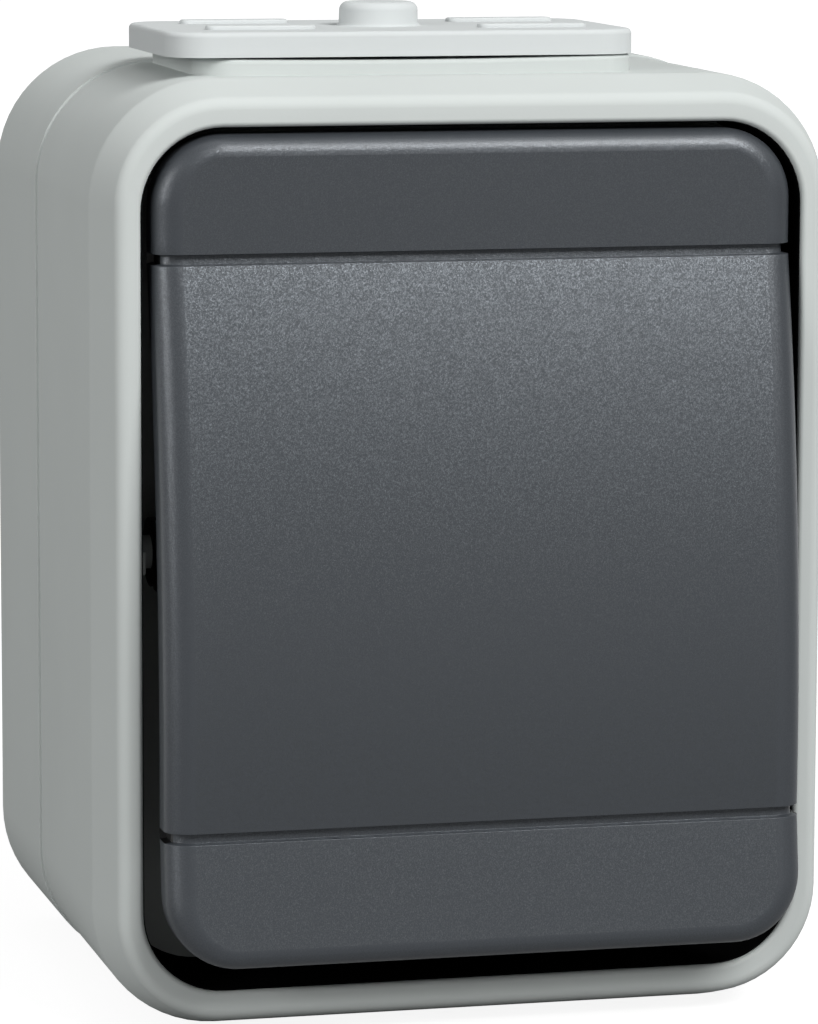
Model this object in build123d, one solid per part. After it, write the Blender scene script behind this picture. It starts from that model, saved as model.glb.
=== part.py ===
"""Surface-mounted splash-proof light pushbutton, in millimetres.

The wall face of the base lies on Y = 0, the front faces -Y, X is to the right and Z is up.
Depths are distances from the wall face, so a depth of 20 is the plane Y = -20.
"""
import os
from math import cos, radians, sin

from build123d import *

# Housing outline: each section is the base outline moved in by an inset
BASE_WIDTH = 66.0
BASE_HEIGHT = 82.7
BASE_CORNER = 11.1
BASE_DEPTH = 20.2
PARTING_INSET = 0.15
PARTING_LEDGE = 0.2
COVER_SIDE = 24.0
EDGE_INSET = 0.55
COVER_TAPER = 6.2
RIM_INSET = 1.7
RIM_ROUND = 1.2
WALL = 2.4
BACK_WALL = 2.4

# Window of the cover, inside a flat rim, and the floor behind it
RIM_LAND_SIDE = 2.3
RIM_LAND_END = 2.6
WINDOW_ROUND = 0.45
FLOOR = 1.5
FLOOR_PLAY = 1.0
FLOOR_OPENING_HEIGHT = 42.0
FLOOR_OPENING_CORNER = 5.0

# Seal in the parting line
GASKET_LIP = 1.2
GASKET_HEIGHT = 1.0
GASKET_PLAY = 0.05

# Rocker, drawn at rest with its top pressed in: a rise is a distance in front of the rim
ROCKER_SIDE_GAP = 1.0
ROCKER_TOP_GAP = 0.6
ROCKER_BOTTOM_GAP = 3.3
ROCKER_ROUND = 1.8
TOP_RISE = 0.75
CROWN_RISE = 4.65
LOWER_RISE = 5.42
BOTTOM_RISE = 6.9
TOP_BAND = 10.65
BOTTOM_BAND = 11.3
GROOVE = 0.95
GROOVE_DEPTH = 0.5
ROCKER_LIP = 3.6
ROCKER_SKIN = 2.2
SKIRT_INSET = 1.3
SKIRT_WALL = 1.5
SKIRT_DEPTH = 9.0
SKIRT_NOTCH_RADIUS = 2.6
SKIRT_NOTCH_RISE = -1.4
SKIRT_NOTCH_LIFT = 1.1
RIB = 1.4
RIB_X = 10.0
RIB_DEPTH = 6.0

# Pivot of the rocker on two stub pins of the cover, and the finger that pushes the plunger
PIVOT_GAP = 9.0
PIN_RADIUS = 1.45
PIN_PLAY = 0.05
PIN_PAST = 0.2
EAR_WALL = 1.55
PIVOT_RIB_HEIGHT = 2.0
PIVOT_RIB_GAP = 0.25
PIVOT_RIB_SETBACK = 1.0
FINGER_Z = -12.0
FINGER_RADIUS = 2.2
FINGER_REACH = 4.0
FINGER_LEAD = 0.4
ROCKER_TRAVEL_DEG = 10.0

# Seat and soft cable-entry plate on top of the cover
PLATE_X = -4.2
PLATE_WIDTH = 41.5
PLATE_CORNER = 3.6
PLATE_BACK_GAP = 0.4
PLATE_FRONT_GAP = 1.1
PLATE_THICKNESS = 2.05
PLATE_ROUND = 0.35
PLATE_BOW = 0.45
PLATE_OVERHANG = 0.15
SEAT_HEIGHT = 1.55
BASE_SEAT = 3.0
BOSS_RADIUS = 3.45
BOSS_HEIGHT = 2.1
BOSS_ROUND = 0.4
NECK_WIDTH = 26.0
NECK_MARGIN = 1.4
NECK_CORNER = 3.0
NECK_PLAY = 0.1
NECK_LIP = 0.8
NECK_LIP_HEIGHT = 1.2

# Screws that hold the housing and the insert, and the wall fixing holes
COVER_SCREW_MARGIN = 7.3
POST_RADIUS = 3.5
POST_WALL_GAP = 2.25
POST_INSERT_GAP = 2.0
SCREW_RADIUS = 1.5
SCREW_PLAY = 0.05
SCREW_CLEARANCE = 0.25
SCREW_HEAD_RADIUS = 2.7
SCREW_HEAD = 1.6
SCREW_SLOT = 0.7
SCREW_GRIP = 9.0
PILOT_PAST = 1.0
HEAD_ROOM = 0.9
WALL_HOLE_MARGIN = 12.35
WALL_HOLE_RADIUS = 2.3
WALL_SEAL_RADIUS = 4.6
WALL_SEAL = 1.2

# Case of the switch insert and the rubber sheet in front of it
SEAL = 1.7
SEAL_OVERLAP = 4.0
SEAL_SCREW_GAP = 1.8
SEAL_CORNER = 5.0
SLEEVE_HEIGHT = 1.0
SLEEVE_WALL = 1.2
SLEEVE_PLAY = 0.3
EAR_THICKNESS = 1.2
INSERT_CORNER = 2.5
INSERT_WALL = 1.6
CLAMP_END_GAP = 5.4
FLANGE_SIDE_GAP = 2.4
CLAMP_PAD = 2.5
BUSHING_WALL = 1.2
BUSHING_DEPTH = 3.2

# Plunger with its bridge and springs
PLUNGER_MARGIN = 0.6
PLUNGER_PLAY = 0.1
CONTACT_GAP = 0.12
FLANGE_STEP = 1.6
FLANGE = 1.0
FLANGE_GAP = 0.2
STEM_RADIUS = 1.5
STEM_END = 1.0
FOOT = 1.0
FOOT_MARGIN = 0.5
SPRING_SEAT = 1.0
SPRING_PLAY = 0.6
SPRING_WIRE = 0.3
WIRE_FLATS = 8
BRIDGE_SPRING_LENGTH = 7.0
BRIDGE_SPRING_TURNS = 5
RETURN_SPRING_TURNS = 5
BRIDGE_MARGIN = 0.5
BRIDGE_PLAY = 0.05
STRIP = 0.8
TIP_RADIUS = 2.0
TIP = 0.8
CONTACT_X = 9.0

# Fixed contacts and their wire clamps
CONTACT_WIDTH = 5.4
CONTACT_END = 0.8
CONTACT_SETBACK = 0.4
CLAMP_Z = 9.5
CLAMP_HEIGHT = 7.0
CLAMP_WALL = 1.3
CLAMP_PLAY = 0.25
CLAMP_SCREW_RADIUS = 1.45
CLAMP_HEAD_RADIUS = 2.3
CLAMP_SCREW_REACH = 1.6
CLAMP_HEAD_GAP = 1.2
ACCESS_CLEARANCE = 0.5
WIRE_RADIUS = 1.95

# Making allowances: how far a cut runs past a face, how far a feature runs into
# the one that carries it, and the least radius of a corner that is moved in
CUT_PAST = 1.0
JOIN = 0.2
LEAST_CORNER = 0.3

# Housing places worked out from the sizes above
PARTING_DEPTH = BASE_DEPTH
EDGE_DEPTH = PARTING_DEPTH + COVER_SIDE
RIM_DEPTH = EDGE_DEPTH + COVER_TAPER
WALL_TOP = BASE_HEIGHT / 2
COVER_INSET = PARTING_INSET + PARTING_LEDGE
INSIDE_HALF = BASE_WIDTH / 2 - COVER_INSET - WALL
INSIDE_TOP = WALL_TOP - EDGE_INSET - WALL
WINDOW_WIDTH = BASE_WIDTH - 2 * (RIM_INSET + RIM_LAND_SIDE)
WINDOW_HEIGHT = BASE_HEIGHT - 2 * (RIM_INSET + RIM_LAND_END)
WINDOW_CORNER = BASE_CORNER - RIM_INSET - RIM_LAND_SIDE
EAR_RADIUS = PIN_RADIUS + EAR_WALL
PIVOT_DEPTH = RIM_DEPTH - PIVOT_GAP
FLOOR_FRONT = PIVOT_DEPTH - EAR_RADIUS - FLOOR_PLAY
FLOOR_BACK = FLOOR_FRONT - FLOOR
PLATE_BACK = PARTING_DEPTH + PLATE_BACK_GAP
PLATE_FRONT = EDGE_DEPTH - PLATE_FRONT_GAP
SEAT_BACK = PARTING_DEPTH - BASE_SEAT
SEAT_Z = WALL_TOP - COVER_INSET + SEAT_HEIGHT
NECK_BACK = PLATE_BACK + NECK_MARGIN
NECK_FRONT = FLOOR_BACK - NECK_LIP - NECK_PLAY
NECK_DEPTH = (NECK_FRONT + NECK_BACK) / 2
BOSS_DEPTH = (PLATE_BACK + PLATE_FRONT) / 2
WALL_HOLE_Z = WALL_TOP - WALL_HOLE_MARGIN
COVER_SCREW_X = WINDOW_WIDTH / 2 - COVER_SCREW_MARGIN
COVER_SCREW_Z = WINDOW_HEIGHT / 2 - COVER_SCREW_MARGIN

# Rocker places
ROCKER_WIDTH = WINDOW_WIDTH - 2 * ROCKER_SIDE_GAP
ROCKER_TOP = WINDOW_HEIGHT / 2 - ROCKER_TOP_GAP
ROCKER_BOTTOM = ROCKER_BOTTOM_GAP - WINDOW_HEIGHT / 2
ROCKER_HEIGHT = ROCKER_TOP - ROCKER_BOTTOM
ROCKER_MIDDLE = (ROCKER_TOP + ROCKER_BOTTOM) / 2
ROCKER_CORNER = WINDOW_CORNER - ROCKER_SIDE_GAP
GROOVE_TOP_Z = ROCKER_TOP - TOP_BAND
GROOVE_BOTTOM_Z = ROCKER_BOTTOM + BOTTOM_BAND
GROOVES = (GROOVE_TOP_Z, GROOVE_BOTTOM_Z)
CROWN_Z = (GROOVE_TOP_Z + GROOVE_BOTTOM_Z) / 2
SKIRT_X = ROCKER_WIDTH / 2 - SKIRT_INSET
PIVOT_RIB_PROUD = ROCKER_SIDE_GAP - PIVOT_RIB_GAP
TRAVEL = radians(ROCKER_TRAVEL_DEG)
PLUNGER_TRAVEL = -FINGER_Z * sin(TRAVEL) - (FINGER_REACH - FINGER_RADIUS) * (1 - cos(TRAVEL))

# Insert places, from the cover's floor back to the wall
LID_FRONT = FLOOR_BACK - SEAL
LID_BACK = FLOOR_BACK - HEAD_ROOM - SCREW_HEAD - EAR_THICKNESS
PLUNGER_Z = FINGER_Z + FINGER_LEAD
PLUNGER_RADIUS = FINGER_RADIUS + PLUNGER_MARGIN
PLUNGER_TIP = PIVOT_DEPTH - FINGER_REACH - CONTACT_GAP
FLANGE_RADIUS = PLUNGER_RADIUS + FLANGE_STEP
SPRING_RADIUS = STEM_RADIUS + SPRING_PLAY + SPRING_WIRE
FOOT_RADIUS = SPRING_RADIUS + SPRING_WIRE + FOOT_MARGIN
BUSHING_END = LID_BACK - BUSHING_DEPTH
FLANGE_FRONT = BUSHING_END - FLANGE_GAP
FLANGE_BACK = FLANGE_FRONT - FLANGE
BRIDGE_FRONT = FLANGE_BACK - BRIDGE_SPRING_LENGTH
BRIDGE_BACK = BRIDGE_FRONT - STRIP
BRIDGE_LENGTH = 2 * (CONTACT_X + TIP_RADIUS + BRIDGE_MARGIN)
BRIDGE_HEIGHT = 2 * (TIP_RADIUS + BRIDGE_MARGIN)
FOOT_BACK = BRIDGE_BACK - FOOT
FIXED_TIP_FRONT = BRIDGE_BACK - TIP - PLUNGER_TRAVEL - CONTACT_GAP
FIXED_STRIP_FRONT = FIXED_TIP_FRONT - TIP
FIXED_STRIP_BACK = FIXED_STRIP_FRONT - STRIP
CONTACT_LOW_Z = PLUNGER_Z - TIP_RADIUS - CONTACT_END
CLAMP_LOW_Z = CLAMP_Z - CLAMP_HEIGHT / 2
CLAMP_HIGH_Z = CLAMP_Z + CLAMP_HEIGHT / 2
CLAMP_BACK = FIXED_STRIP_BACK - CLAMP_WALL
CLAMP_TOP = FIXED_STRIP_FRONT + 2 * WIRE_RADIUS
CLAMP_FRONT = CLAMP_TOP + CLAMP_WALL
CLAMP_WINDOW_HALF = CONTACT_WIDTH / 2 + CLAMP_PLAY
CLAMP_HALF = CLAMP_WINDOW_HALF + CLAMP_WALL
CAVITY_BACK = CLAMP_BACK - CLAMP_PAD
INSERT_BACK = CAVITY_BACK - INSERT_WALL
INSERT_POST_X = INSIDE_HALF - POST_WALL_GAP - POST_RADIUS
INSERT_WIDTH = 2 * (INSERT_POST_X - POST_RADIUS - POST_INSERT_GAP)
INSERT_TOP = CLAMP_HIGH_Z + CLAMP_END_GAP + INSERT_WALL
INSERT_BOTTOM = PLUNGER_Z - FLANGE_RADIUS - FLANGE_SIDE_GAP - INSERT_WALL
INSERT_HEIGHT = INSERT_TOP - INSERT_BOTTOM
INSERT_MIDDLE = (INSERT_TOP + INSERT_BOTTOM) / 2
SEAL_WIDTH = 2 * (INSERT_POST_X - SCREW_HEAD_RADIUS - SEAL_SCREW_GAP)
SEAL_HEIGHT = FLOOR_OPENING_HEIGHT + 2 * SEAL_OVERLAP
FLOOR_OPENING_WIDTH = SEAL_WIDTH - 2 * SEAL_OVERLAP


def facing(depth, x=0.0, z=0.0):
    """Plane at a depth that looks forward, with its own x along X and its own y along Z."""
    return Plane(origin=(x, -depth, z), x_dir=(1, 0, 0), z_dir=(0, -1, 0))


def bar(width, height, corner, near, far, x=0.0, z=0.0):
    """Rounded rectangle run forward from one depth to another."""
    section = RectangleRounded(width, height, max(corner, LEAST_CORNER))
    return extrude(facing(near, x, z) * section, amount=far - near)


def rod(radius, near, far, x=0.0, z=0.0):
    """Round bar run forward from one depth to another."""
    return extrude(facing(near, x, z) * Circle(radius), amount=far - near)


def cross_rod(radius, x_from, x_to, depth, z):
    """Round bar along X."""
    return extrude(Plane(origin=(x_from, -depth, z), z_dir=(1, 0, 0)) * Circle(radius), amount=x_to - x_from)


def block(x_low, x_high, near, far, z_low, z_high):
    """Square-cornered block between two depths."""
    centre = Pos((x_low + x_high) / 2, -(near + far) / 2, (z_low + z_high) / 2)
    return centre * Box(x_high - x_low, far - near, z_high - z_low)


def outline(inset, depth):
    """Housing section at a depth, moved in from the base outline."""
    width = BASE_WIDTH - 2 * inset
    height = BASE_HEIGHT - 2 * inset
    return facing(depth) * RectangleRounded(width, height, max(BASE_CORNER - inset, LEAST_CORNER))


def housing(near_inset, near, far_inset, far):
    """Tapered housing body between two sections."""
    return loft([outline(near_inset, near), outline(far_inset, far)], ruled=True)


def upright(width, length, corner, x, depth, z_low, z_high):
    """Rounded rectangle in plan, run upwards."""
    plan = Plane(origin=(x, -depth, z_low)) * RectangleRounded(width, length, corner)
    return extrude(plan, amount=z_high - z_low)


def screw(x, z, under_head, shank_radius, head_radius, length):
    """Slotted pan-head screw driven towards the wall."""
    head = rod(head_radius, under_head, under_head + SCREW_HEAD, x, z)
    head = chamfer(head.edges().sort_by(Axis.Y)[0], SCREW_HEAD / 3)
    slot_near = under_head + SCREW_HEAD / 2
    slot_far = under_head + SCREW_HEAD + CUT_PAST
    half = SCREW_SLOT / 2
    slot = block(x - head_radius, x + head_radius, slot_near, slot_far, z - half, z + half)
    return head - slot + rod(shank_radius, under_head - length, under_head, x, z)


def cover_screw_places():
    """Two opposite corners of the window."""
    return [(-COVER_SCREW_X, COVER_SCREW_Z), (COVER_SCREW_X, -COVER_SCREW_Z)]


def sides():
    """Left and right."""
    return [("left", -1), ("right", 1)]


def seat(near, far):
    """Seat of the entry plate between two depths, from inside the wall up to the plate."""
    low = WALL_TOP - BASE_CORNER
    whole = upright(PLATE_WIDTH - 2 * PLATE_OVERHANG, PLATE_FRONT - SEAT_BACK, PLATE_CORNER,
                    PLATE_X, (SEAT_BACK + PLATE_FRONT) / 2, low, SEAT_Z)
    return whole & block(-BASE_WIDTH, BASE_WIDTH, near, far, low, SEAT_Z)


def make_base_box():
    box = housing(0, 0, PARTING_INSET, PARTING_DEPTH) + seat(SEAT_BACK, PARTING_DEPTH)
    box -= housing(WALL, BACK_WALL, PARTING_INSET + WALL, PARTING_DEPTH)
    step = outline(PARTING_INSET + GASKET_LIP, PARTING_DEPTH - GASKET_HEIGHT)
    box -= extrude(step, amount=GASKET_HEIGHT)
    for _, side in sides():
        x = side * INSERT_POST_X
        box += rod(POST_RADIUS, BACK_WALL, LID_BACK, x, 0)
        box -= rod(SCREW_RADIUS + SCREW_PLAY, LID_BACK - SCREW_GRIP - PILOT_PAST, LID_BACK, x, 0)
    for x, z in cover_screw_places():
        box += rod(POST_RADIUS, BACK_WALL, PARTING_DEPTH, x, z)
        box -= rod(SCREW_RADIUS + SCREW_PLAY, PARTING_DEPTH - SCREW_GRIP - PILOT_PAST, PARTING_DEPTH, x, z)
    for z in (-WALL_HOLE_Z, WALL_HOLE_Z):
        box -= rod(WALL_HOLE_RADIUS, 0, BACK_WALL, 0, z)
    return box


def make_housing_gasket():
    near = PARTING_DEPTH - GASKET_HEIGHT
    ring = extrude(outline(PARTING_INSET + GASKET_LIP + GASKET_PLAY, near), amount=GASKET_HEIGHT)
    return ring - extrude(outline(PARTING_INSET + WALL, near), amount=GASKET_HEIGHT)


def make_front_cover():
    cover = housing(COVER_INSET, PARTING_DEPTH, EDGE_INSET, EDGE_DEPTH)
    cover += housing(EDGE_INSET, EDGE_DEPTH, RIM_INSET, RIM_DEPTH)
    front = cover.faces().sort_by(Axis.Y)[0]
    cover = fillet(front.edges(), RIM_ROUND) + seat(PARTING_DEPTH, PLATE_FRONT)
    cover -= bar(WINDOW_WIDTH, WINDOW_HEIGHT, WINDOW_CORNER, FLOOR_FRONT, RIM_DEPTH + CUT_PAST)
    rim = cover.faces().sort_by(Axis.Y)[0]
    cover = fillet(rim.inner_wires()[0].edges(), WINDOW_ROUND)
    cover -= housing(COVER_INSET + WALL, PARTING_DEPTH, EDGE_INSET + WALL, FLOOR_BACK)
    neck_length = NECK_FRONT - NECK_BACK + 2 * NECK_PLAY
    cover -= upright(NECK_WIDTH + 2 * NECK_PLAY, neck_length, NECK_CORNER + NECK_PLAY,
                     PLATE_X, NECK_DEPTH, INSIDE_TOP - CUT_PAST, SEAT_Z)
    cover -= bar(FLOOR_OPENING_WIDTH, FLOOR_OPENING_HEIGHT, FLOOR_OPENING_CORNER, FLOOR_BACK, FLOOR_FRONT)
    for x, z in cover_screw_places():
        cover += rod(POST_RADIUS, PARTING_DEPTH, FLOOR_BACK, x, z)
        cover -= rod(SCREW_RADIUS + SCREW_CLEARANCE, PARTING_DEPTH, FLOOR_FRONT, x, z)
    for _, side in sides():
        wall = side * WINDOW_WIDTH / 2
        rib_face = wall - side * PIVOT_RIB_PROUD
        rib_low, rib_high = sorted((wall + side * JOIN, rib_face))
        cover += block(rib_low, rib_high, FLOOR_FRONT, RIM_DEPTH - PIVOT_RIB_SETBACK,
                       -PIVOT_RIB_HEIGHT / 2, PIVOT_RIB_HEIGHT / 2)
        pin_low, pin_high = sorted((wall + side * JOIN, side * (SKIRT_X - SKIRT_WALL - PIN_PAST)))
        cover += cross_rod(PIN_RADIUS, pin_low, pin_high, PIVOT_DEPTH, 0)
    return cover


def make_cable_entry_plate():
    left = PLATE_X - PLATE_WIDTH / 2
    right = PLATE_X + PLATE_WIDTH / 2
    top = SEAT_Z + PLATE_THICKNESS
    under = ThreePointArc((left, SEAT_Z), (PLATE_X, SEAT_Z + PLATE_BOW), (right, SEAT_Z))
    rest = Polyline((right, SEAT_Z), (right, top), (left, top), (left, SEAT_Z))
    section = facing(PLATE_BACK) * make_face([under, rest])
    length = PLATE_FRONT - PLATE_BACK
    flange = extrude(section, amount=length)
    flange &= upright(PLATE_WIDTH, length, PLATE_CORNER, PLATE_X, BOSS_DEPTH, SEAT_Z, top)
    flange = fillet(flange.faces().sort_by(Axis.Z)[-1].edges(), PLATE_ROUND)
    boss = extrude(Plane(origin=(PLATE_X, -BOSS_DEPTH, top - PLATE_ROUND)) * Circle(BOSS_RADIUS),
                   amount=BOSS_HEIGHT + PLATE_ROUND)
    boss = fillet(boss.edges().sort_by(Axis.Z)[-1], BOSS_ROUND)
    neck_length = NECK_FRONT - NECK_BACK
    lip_low = INSIDE_TOP - NECK_LIP_HEIGHT
    neck = upright(NECK_WIDTH, neck_length, NECK_CORNER, PLATE_X, NECK_DEPTH, lip_low, SEAT_Z + PLATE_BOW)
    lip = upright(NECK_WIDTH + 2 * NECK_LIP, neck_length + 2 * NECK_LIP, NECK_CORNER + NECK_LIP,
                  PLATE_X, NECK_DEPTH, lip_low, INSIDE_TOP)
    return flange + boss + neck + lip


def rise(height, z):
    """Point of the rocker's side view, a height in front of the rim, as (Y, Z)."""
    return (-(RIM_DEPTH + height), z)


def rocker_front(shift):
    """Front line of the rocker's side view, moved back by a shift: top band, crowned middle, bottom band."""
    groove_top = rise(TOP_RISE - shift, GROOVE_TOP_Z)
    groove_bottom = rise(LOWER_RISE - shift, GROOVE_BOTTOM_Z)
    top_band = Line(rise(TOP_RISE - shift, ROCKER_TOP), groove_top)
    middle = ThreePointArc(groove_top, rise(CROWN_RISE - shift, CROWN_Z), groove_bottom)
    bottom_band = Line(groove_bottom, rise(BOTTOM_RISE - shift, ROCKER_BOTTOM))
    return [top_band, middle, bottom_band]


def slab(front, back):
    """Full-width slab between a front line and the same line further back."""
    face = make_face([*front, *back, Line(front[0] @ 0, back[0] @ 0), Line(front[-1] @ 1, back[-1] @ 1)])
    return extrude(Plane.YZ * face, amount=ROCKER_WIDTH / 2, both=True)


def rocker_plan(inset):
    """Rocker outline as seen from the front, moved in by an inset and run through the whole depth."""
    return bar(ROCKER_WIDTH - 2 * inset, ROCKER_HEIGHT - 2 * inset, ROCKER_CORNER - inset,
               FLOOR_FRONT, RIM_DEPTH + 2 * BOTTOM_RISE, 0, ROCKER_MIDDLE)


def rocker_strip(index):
    """One of the three cap strips, rounded on its outside edge and cut back from its grooves."""
    strip = slab([rocker_front(0)[index]], [rocker_front(ROCKER_LIP)[index]]) & rocker_plan(0)
    front = strip.faces().sort_by(Axis.Y)[0]
    outside = [edge for edge in front.edges() if min(abs(edge.center().Z - z) for z in GROOVES) > GROOVE / 4]
    strip = fillet(outside, ROCKER_ROUND)
    for z in GROOVES:
        strip -= block(-ROCKER_WIDTH, ROCKER_WIDTH, 0, 2 * RIM_DEPTH, z - GROOVE / 2, z + GROOVE / 2)
    return strip


def groove_floor(z, front_rise):
    """Sunk bar that joins two strips and makes the floor of a groove, rounded down both sides."""
    front = RIM_DEPTH + front_rise - GROOVE_DEPTH
    back = RIM_DEPTH + front_rise - ROCKER_LIP + JOIN
    width = ROCKER_WIDTH - 2 * GROOVE_DEPTH
    low = z - GROOVE / 2
    high = z + GROOVE / 2
    floor = upright(width, 2 * (front - back), ROCKER_ROUND - GROOVE_DEPTH, 0, back, low, high)
    return floor & block(-width, width, back, front, low, high)


def make_rocker():
    cap = rocker_strip(0) + rocker_strip(1) + rocker_strip(2)
    cap += groove_floor(GROOVE_TOP_Z, TOP_RISE) + groove_floor(GROOVE_BOTTOM_Z, LOWER_RISE)
    inner = SKIRT_INSET + SKIRT_WALL
    cap -= slab(rocker_front(ROCKER_SKIN), rocker_front(SKIRT_DEPTH)) & rocker_plan(inner)
    ring = rocker_plan(SKIRT_INSET) - rocker_plan(inner)
    skirt = slab(rocker_front(ROCKER_LIP - JOIN), rocker_front(SKIRT_DEPTH)) & ring
    notch_depth = RIM_DEPTH + SKIRT_NOTCH_RISE
    notch_z = GROOVE_BOTTOM_Z + SKIRT_NOTCH_LIFT
    skirt -= cross_rod(SKIRT_NOTCH_RADIUS, -ROCKER_WIDTH, ROCKER_WIDTH, notch_depth, notch_z)
    rocker = cap + skirt
    ribs = slab(rocker_front(ROCKER_SKIN - JOIN), rocker_front(RIB_DEPTH))
    rib_margin = inner - JOIN
    for _, side in sides():
        x = side * RIB_X
        rocker += ribs & block(x - RIB / 2, x + RIB / 2, FLOOR_FRONT, RIM_DEPTH + BOTTOM_RISE,
                               ROCKER_BOTTOM + rib_margin, ROCKER_TOP - rib_margin)
        ear_low, ear_high = sorted((side * SKIRT_X, side * (SKIRT_X - SKIRT_WALL)))
        ear_front = RIM_DEPTH + CROWN_RISE - ROCKER_LIP + JOIN
        ear = block(ear_low, ear_high, PIVOT_DEPTH, ear_front, -EAR_RADIUS, EAR_RADIUS)
        ear += cross_rod(EAR_RADIUS, ear_low, ear_high, PIVOT_DEPTH, 0)
        rocker += ear
        rocker -= cross_rod(PIN_RADIUS + PIN_PLAY, ear_low, ear_high, PIVOT_DEPTH, 0)
    ball_depth = PIVOT_DEPTH - FINGER_REACH + FINGER_RADIUS
    finger = rod(FINGER_RADIUS, ball_depth, RIM_DEPTH + CROWN_RISE - ROCKER_SKIN / 2, 0, FINGER_Z)
    return rocker + finger + Pos(0, -ball_depth, FINGER_Z) * Sphere(FINGER_RADIUS)


def make_splash_seal():
    seal = bar(SEAL_WIDTH, SEAL_HEIGHT, SEAL_CORNER, LID_FRONT, FLOOR_BACK)
    hole = PLUNGER_RADIUS + SLEEVE_PLAY
    seal += rod(hole + SLEEVE_WALL, FLOOR_BACK, FLOOR_BACK + SLEEVE_HEIGHT, 0, PLUNGER_Z)
    return seal - rod(hole, LID_FRONT, FLOOR_BACK + SLEEVE_HEIGHT, 0, PLUNGER_Z)


def make_insert_lid():
    lid = bar(INSERT_WIDTH, INSERT_HEIGHT, INSERT_CORNER, LID_BACK, LID_FRONT, 0, INSERT_MIDDLE)
    bushing = PLUNGER_RADIUS + PLUNGER_PLAY
    lid += rod(bushing + BUSHING_WALL, BUSHING_END, LID_BACK, 0, PLUNGER_Z)
    ear_width = 2 * (INSERT_POST_X + POST_RADIUS)
    lid += bar(ear_width, 2 * POST_RADIUS, POST_RADIUS / 2, LID_BACK, LID_BACK + EAR_THICKNESS)
    lid -= rod(bushing, BUSHING_END, LID_FRONT, 0, PLUNGER_Z)
    for _, side in sides():
        lid -= rod(SCREW_RADIUS + SCREW_CLEARANCE, LID_BACK, LID_FRONT, side * INSERT_POST_X, 0)
        lid -= rod(CLAMP_HEAD_RADIUS + ACCESS_CLEARANCE, LID_BACK, LID_FRONT, side * CONTACT_X, CLAMP_Z)
    return lid


def make_insert_body():
    body = bar(INSERT_WIDTH, INSERT_HEIGHT, INSERT_CORNER, INSERT_BACK, LID_BACK, 0, INSERT_MIDDLE)
    body -= bar(INSERT_WIDTH - 2 * INSERT_WALL, INSERT_HEIGHT - 2 * INSERT_WALL, INSERT_CORNER - INSERT_WALL,
                CAVITY_BACK, LID_BACK, 0, INSERT_MIDDLE)
    for _, side in sides():
        x = side * CONTACT_X
        half = CONTACT_WIDTH / 2
        ledge_end = CLAMP_LOW_Z - CLAMP_PLAY
        body += block(x - half, x + half, CAVITY_BACK, FIXED_STRIP_BACK, CONTACT_LOW_Z, ledge_end)
        body += block(x - CLAMP_HALF, x + CLAMP_HALF, CAVITY_BACK, CLAMP_BACK, CLAMP_LOW_Z, CLAMP_HIGH_Z)
        wire_plane = Plane(origin=(x, -(FIXED_STRIP_FRONT + WIRE_RADIUS), CLAMP_HIGH_Z))
        body -= extrude(wire_plane * Circle(WIRE_RADIUS), amount=INSERT_HEIGHT)
    return body + rod(STEM_RADIUS, CAVITY_BACK, CAVITY_BACK + SPRING_SEAT, 0, PLUNGER_Z)


def make_plunger():
    plunger = rod(PLUNGER_RADIUS, FLANGE_FRONT, PLUNGER_TIP, 0, PLUNGER_Z)
    plunger += rod(FLANGE_RADIUS, FLANGE_BACK, FLANGE_FRONT, 0, PLUNGER_Z)
    plunger += rod(STEM_RADIUS, FOOT_BACK - STEM_END, FLANGE_BACK, 0, PLUNGER_Z)
    return plunger + rod(FOOT_RADIUS, FOOT_BACK, BRIDGE_BACK, 0, PLUNGER_Z)


def make_contact_bridge():
    bridge = bar(BRIDGE_LENGTH, BRIDGE_HEIGHT, BRIDGE_HEIGHT / 4, BRIDGE_BACK, BRIDGE_FRONT, 0, PLUNGER_Z)
    return bridge - rod(STEM_RADIUS + BRIDGE_PLAY, BRIDGE_BACK, BRIDGE_FRONT, 0, PLUNGER_Z)


def make_tips(front):
    """Pair of round contact tips behind a front depth."""
    return [rod(TIP_RADIUS, front - TIP, front, side * CONTACT_X, PLUNGER_Z) for _, side in sides()]


def make_spring(near, far, turns):
    """Coil spring between two flat seats, its wire drawn with a few flats."""
    height = far - near - 2 * SPRING_WIRE
    plane = facing(near + SPRING_WIRE, 0, PLUNGER_Z)
    path = plane * Helix(pitch=height / turns, height=height, radius=SPRING_RADIUS)
    start = Plane(origin=path @ 0, z_dir=path % 0)
    return sweep(start * RegularPolygon(SPRING_WIRE, WIRE_FLATS), path=path, is_frenet=True)


def make_fixed_contact(side):
    half = CONTACT_WIDTH / 2
    x = side * CONTACT_X
    high = CLAMP_HIGH_Z - CONTACT_SETBACK
    return block(x - half, x + half, FIXED_STRIP_BACK, FIXED_STRIP_FRONT, CONTACT_LOW_Z, high)


def make_terminal_clamp(side):
    x = side * CONTACT_X
    half = CLAMP_WINDOW_HALF
    clamp = block(x - CLAMP_HALF, x + CLAMP_HALF, CLAMP_BACK, CLAMP_FRONT, CLAMP_LOW_Z, CLAMP_HIGH_Z)
    clamp -= block(x - half, x + half, FIXED_STRIP_BACK, CLAMP_TOP, CLAMP_LOW_Z, CLAMP_HIGH_Z)
    return clamp - rod(CLAMP_SCREW_RADIUS + SCREW_PLAY, CLAMP_TOP, CLAMP_FRONT, x, CLAMP_Z)


def make_terminal_screws():
    under_head = CLAMP_FRONT + CLAMP_HEAD_GAP
    length = CLAMP_HEAD_GAP + CLAMP_WALL + CLAMP_SCREW_REACH
    return [screw(side * CONTACT_X, CLAMP_Z, under_head, CLAMP_SCREW_RADIUS, CLAMP_HEAD_RADIUS, length)
            for _, side in sides()]


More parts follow.
